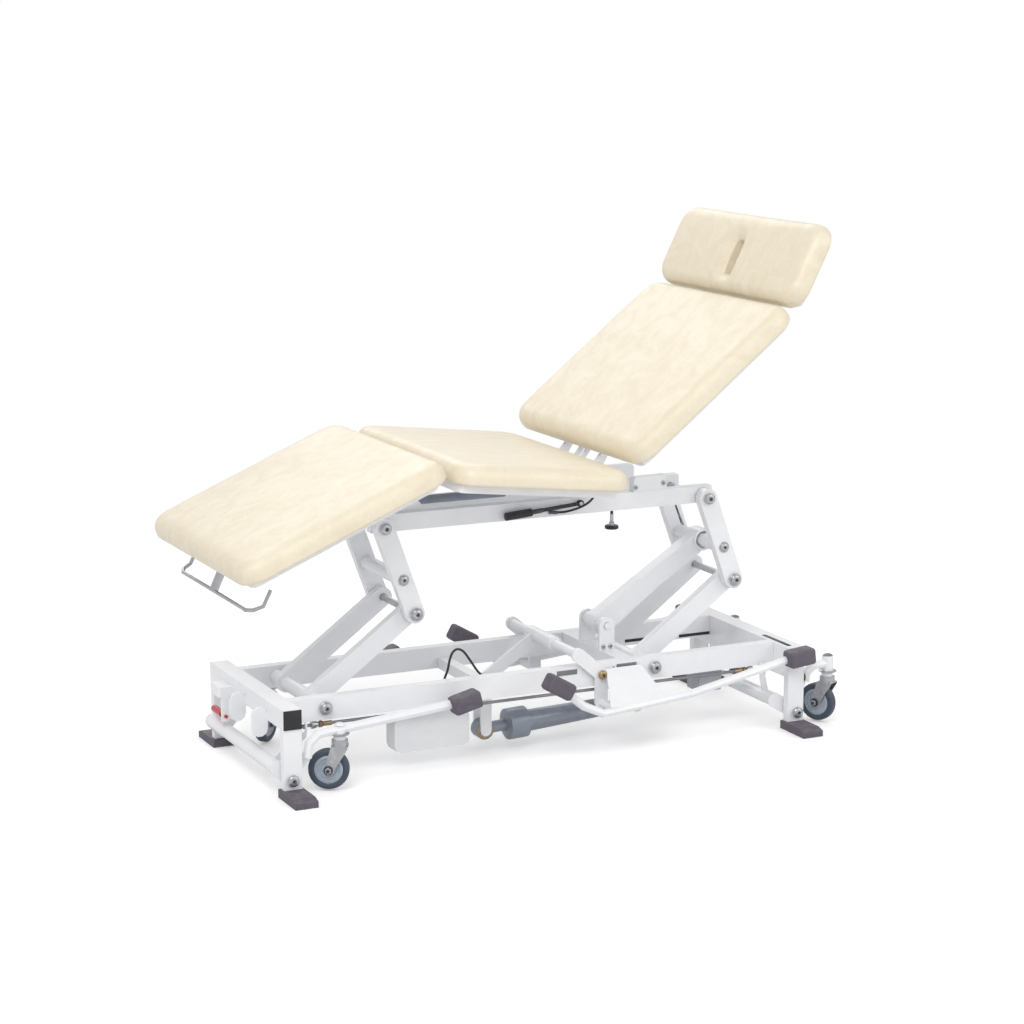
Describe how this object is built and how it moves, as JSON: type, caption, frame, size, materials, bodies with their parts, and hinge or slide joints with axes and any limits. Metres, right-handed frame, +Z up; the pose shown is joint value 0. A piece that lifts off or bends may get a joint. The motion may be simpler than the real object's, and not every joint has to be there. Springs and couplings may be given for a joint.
{
  "type": "treatment table",
  "caption": "Padded treatment table with leg, seat, back and head sections on a folding powered lift, with a floor frame, rubber shoes, foot pedals and castors that lower",
  "frame": {"origin": "on the floor under the middle of the table", "axes": "+X towards the head end, +Y towards the far side, +Z up"},
  "size_m": [1.6752, 0.699, 1.3162],
  "materials": {
    "white_frame": "smooth white powder coat",
    "cream_vinyl": "mottled cream vinyl with a soft sheen",
    "grey_rubber": "matt purple-grey rubber",
    "black_plastic": "matt black",
    "zinc_steel": "zinc plated",
    "blue_tyre": "dark blue-grey tyre on a grey-blue hub",
    "actuator_grey": "grey-blue metallic paint",
    "white_plastic": "smooth white housing",
    "grey_plastic": "light grey housing",
    "red_plastic": "glossy red"
  },
  "bodies": {
    "base": {"foot_end_frame": "white_frame", "head_end_frame": "white_frame", "shoe_foot_near": "grey_rubber", "shoe_foot_far": "grey_rubber", "shoe_head_near": "grey_rubber", "shoe_head_far": "grey_rubber", "rail_near": "white_frame", "rail_far": "white_frame", "middle_arm_stand": "white_frame", "foot_base_shaft": "zinc_steel", "head_base_shaft": "zinc_steel", "actuator_mount": "white_frame", "actuator_body": "actuator_grey", "control_box": "white_plastic", "junction_box": "grey_plastic", "base_cable": "black_plastic"},
    "foot_arms": {"foot_arms": "white_frame", "foot_low_shaft": "zinc_steel"},
    "foot_links": {"foot_links": "white_frame"},
    "upper_frame": {"upper_frame": "white_frame", "foot_top_shaft": "zinc_steel", "head_top_shaft": "zinc_steel", "gas_cylinder": "black_plastic", "release_cable": "black_plastic"},
    "head_arms": {"head_arms": "white_frame", "head_low_shaft": "zinc_steel"},
    "head_links": {"head_links": "white_frame"},
    "middle_arm": {"middle_arm": "white_frame"},
    "actuator_rod": {"actuator_rod": "zinc_steel"},
    "seat": {"seat_board": "white_frame", "seat_pad": "cream_vinyl"},
    "leg": {"leg_board": "white_frame", "leg_pad": "cream_vinyl"},
    "back": {"back_board": "white_frame", "back_pad": "cream_vinyl"},
    "head": {"head_board": "white_frame", "head_pad": "cream_vinyl"},
    "gas_rod": {"gas_rod": "zinc_steel"},
    "lever": {"release_lever": "black_plastic"},
    "knob": {"clamp_knob": "black_plastic"},
    "bail": {"leg_bail": "zinc_steel"},
    "foot_castor_bar": {"foot_castor_bar": "white_frame", "foot_pedal_near": "grey_rubber", "foot_pedal_far": "grey_rubber"},
    "head_castor_bar": {"head_castor_bar": "white_frame"},
    "castor_rod": {"castor_rod": "zinc_steel"},
    "rocker": {"height_rocker": "white_frame", "middle_pedal_near": "grey_rubber", "middle_pedal_far": "grey_rubber", "head_pedal_near": "grey_rubber", "head_pedal_far": "grey_rubber"},
    "lock": {"lock_knob": "red_plastic"},
    "swivel_foot_near": {"castor_fork_foot_near": "zinc_steel"},
    "swivel_foot_far": {"castor_fork_foot_far": "zinc_steel"},
    "swivel_head_near": {"castor_fork_head_near": "zinc_steel"},
    "swivel_head_far": {"castor_fork_head_far": "zinc_steel"},
    "wheel_foot_near": {"castor_wheel_foot_near": "blue_tyre"},
    "wheel_foot_far": {"castor_wheel_foot_far": "blue_tyre"},
    "wheel_head_near": {"castor_wheel_head_near": "blue_tyre"},
    "wheel_head_far": {"castor_wheel_head_far": "blue_tyre"}
  },
  "joints": [
    {"name": "lift", "type": "hinge", "parent": "base", "child": "foot_arms", "pos_m": [-0.5778, 0, 0.1917], "axis": [0, -1, 0], "range_deg": [-24, 21]},
    {"name": "foot_link_turn", "type": "hinge", "parent": "foot_arms", "child": "foot_links", "pos_m": [-0.3148, 0, 0.3856], "axis": [0, -1, 0], "range_deg": [-27, 31]},
    {"name": "frame_level", "type": "hinge", "parent": "foot_links", "child": "upper_frame", "pos_m": [-0.3947, 0, 0.6064], "axis": [0, -1, 0], "range_deg": [-7, 6]},
    {"name": "head_arm_turn", "type": "hinge", "parent": "base", "child": "head_arms", "pos_m": [0.3262, 0, 0.1917], "axis": [0, -1, 0], "range_deg": [-25, 22]},
    {"name": "head_link_turn", "type": "hinge", "parent": "head_arms", "child": "head_links", "pos_m": [0.5892, 0, 0.3856], "axis": [0, -1, 0], "range_deg": [-27, 31]},
    {"name": "middle_arm_turn", "type": "hinge", "parent": "base", "child": "middle_arm", "pos_m": [0.2538, 0, 0.2808], "axis": [0, -1, 0], "range_deg": [-23, 20]},
    {"name": "actuator_slide", "type": "slide", "parent": "base", "child": "actuator_rod", "axis": [0.9988, 0, 0.0487], "range_m": [-0.0505, 0.0445]},
    {"name": "seat_tilt", "type": "hinge", "parent": "upper_frame", "child": "seat", "pos_m": [-0.3467, 0, 0.703], "axis": [0, -1, 0], "range_deg": [0, 6.4]},
    {"name": "leg_tilt", "type": "hinge", "parent": "upper_frame", "child": "leg", "pos_m": [-0.3467, 0, 0.703], "axis": [0, 1, 0], "range_deg": [-10, 22.8]},
    {"name": "back_tilt", "type": "hinge", "parent": "upper_frame", "child": "back", "pos_m": [0.1968, 0, 0.708], "axis": [0, -1, 0], "range_deg": [-38.5, 2]},
    {"name": "gas_slide", "type": "slide", "parent": "upper_frame", "child": "gas_rod", "axis": [1, 0, 0], "range_m": [-0.0485, 0.0033]},
    {"name": "head_tilt", "type": "hinge", "parent": "back", "child": "head", "pos_m": [0.6518, 0, 1.0726], "axis": [0, -1, 0], "range_deg": [-60, 0]},
    {"name": "lever_pull", "type": "hinge", "parent": "upper_frame", "child": "lever", "pos_m": [0.1448, -0.116, 0.622], "axis": [0, 1, 0], "range_deg": [0, 12], "stiffness_Nm_per_rad": 6, "springref_deg": -11.46},
    {"name": "knob_turn", "type": "hinge", "parent": "upper_frame", "child": "knob", "pos_m": [0.2278, -0.087, 0.58], "axis": [0, 0, 1], "continuous": true},
    {"name": "bail_pull", "type": "hinge", "parent": "leg", "child": "bail", "pos_m": [-0.75377, 0, 0.54622], "axis": [0, -1, 0], "range_deg": [0, 14], "stiffness_Nm_per_rad": 12, "springref_deg": -17.19},
    {"name": "foot_castor_lower", "type": "hinge", "parent": "base", "child": "foot_castor_bar", "pos_m": [-0.6932, 0, 0.0455], "axis": [0, 1, 0], "range_deg": [0, 7]},
    {"name": "head_castor_lower", "type": "hinge", "parent": "base", "child": "head_castor_bar", "pos_m": [0.7085, 0, 0.0455], "axis": [0, 1, 0], "range_deg": [-0.2, 7.2]},
    {"name": "castor_rod_slide", "type": "slide", "parent": "base", "child": "castor_rod", "axis": [1, 0, 0], "range_m": [-0.001, 0.0135]},
    {"name": "rocker_press", "type": "hinge", "parent": "base", "child": "rocker", "pos_m": [0.1678, 0, 0.193], "axis": [0, 1, 0], "range_deg": [-3, 3], "stiffness_Nm_per_rad": 900},
    {"name": "lock_pull", "type": "slide", "parent": "base", "child": "lock", "axis": [0, 1, 0], "range_m": [0, 0.012], "stiffness_N_per_m": 400, "springref_m": -0.01},
    {"name": "swivel_foot_near_turn", "type": "hinge", "parent": "foot_castor_bar", "child": "swivel_foot_near", "pos_m": [-0.5642, -0.24, 0.127], "axis": [0, 0, 1], "continuous": true},
    {"name": "swivel_foot_far_turn", "type": "hinge", "parent": "foot_castor_bar", "child": "swivel_foot_far", "pos_m": [-0.5642, 0.24, 0.127], "axis": [0, 0, 1], "continuous": true},
    {"name": "swivel_head_near_turn", "type": "hinge", "parent": "head_castor_bar", "child": "swivel_head_near", "pos_m": [0.8118, -0.24, 0.127], "axis": [0, 0, 1], "continuous": true},
    {"name": "swivel_head_far_turn", "type": "hinge", "parent": "head_castor_bar", "child": "swivel_head_far", "pos_m": [0.8118, 0.24, 0.127], "axis": [0, 0, 1], "continuous": true},
    {"name": "wheel_foot_near_roll", "type": "hinge", "parent": "swivel_foot_near", "child": "wheel_foot_near", "pos_m": [-0.58826, -0.22774, 0.054], "axis": [-0.454, -0.891, 0], "continuous": true},
    {"name": "wheel_foot_far_roll", "type": "hinge", "parent": "swivel_foot_far", "child": "wheel_foot_far", "pos_m": [-0.58329, 0.22091, 0.054], "axis": [0.7071, -0.7071, 0], "continuous": true},
    {"name": "wheel_head_near_roll", "type": "hinge", "parent": "swivel_head_near", "child": "wheel_head_near", "pos_m": [0.79912, -0.21616, 0.054], "axis": [-0.8829, -0.4695, 0], "continuous": true},
    {"name": "wheel_head_far_roll", "type": "hinge", "parent": "swivel_head_far", "child": "wheel_head_far", "pos_m": [0.79912, 0.21616, 0.054], "axis": [0.8829, -0.4695, 0], "continuous": true}
  ],
  "couplings": [
    {"joint": "foot_link_turn", "follows": "lift", "ratio": -1.2325},
    {"joint": "frame_level", "follows": "lift", "ratio": 0.2325},
    {"joint": "head_arm_turn", "follows": "lift", "ratio": 1},
    {"joint": "head_link_turn", "follows": "lift", "ratio": -1.2325},
    {"joint": "middle_arm_turn", "follows": "lift", "ratio": 0.8925},
    {"joint": "actuator_slide", "follows": "lift", "m_per_rad": 0.1157},
    {"joint": "gas_slide", "follows": "back_tilt", "m_per_rad": 0.0709},
    {"joint": "head_castor_lower", "follows": "foot_castor_lower", "ratio": 1},
    {"joint": "castor_rod_slide", "follows": "foot_castor_lower", "m_per_rad": 0.1066}
  ]
}
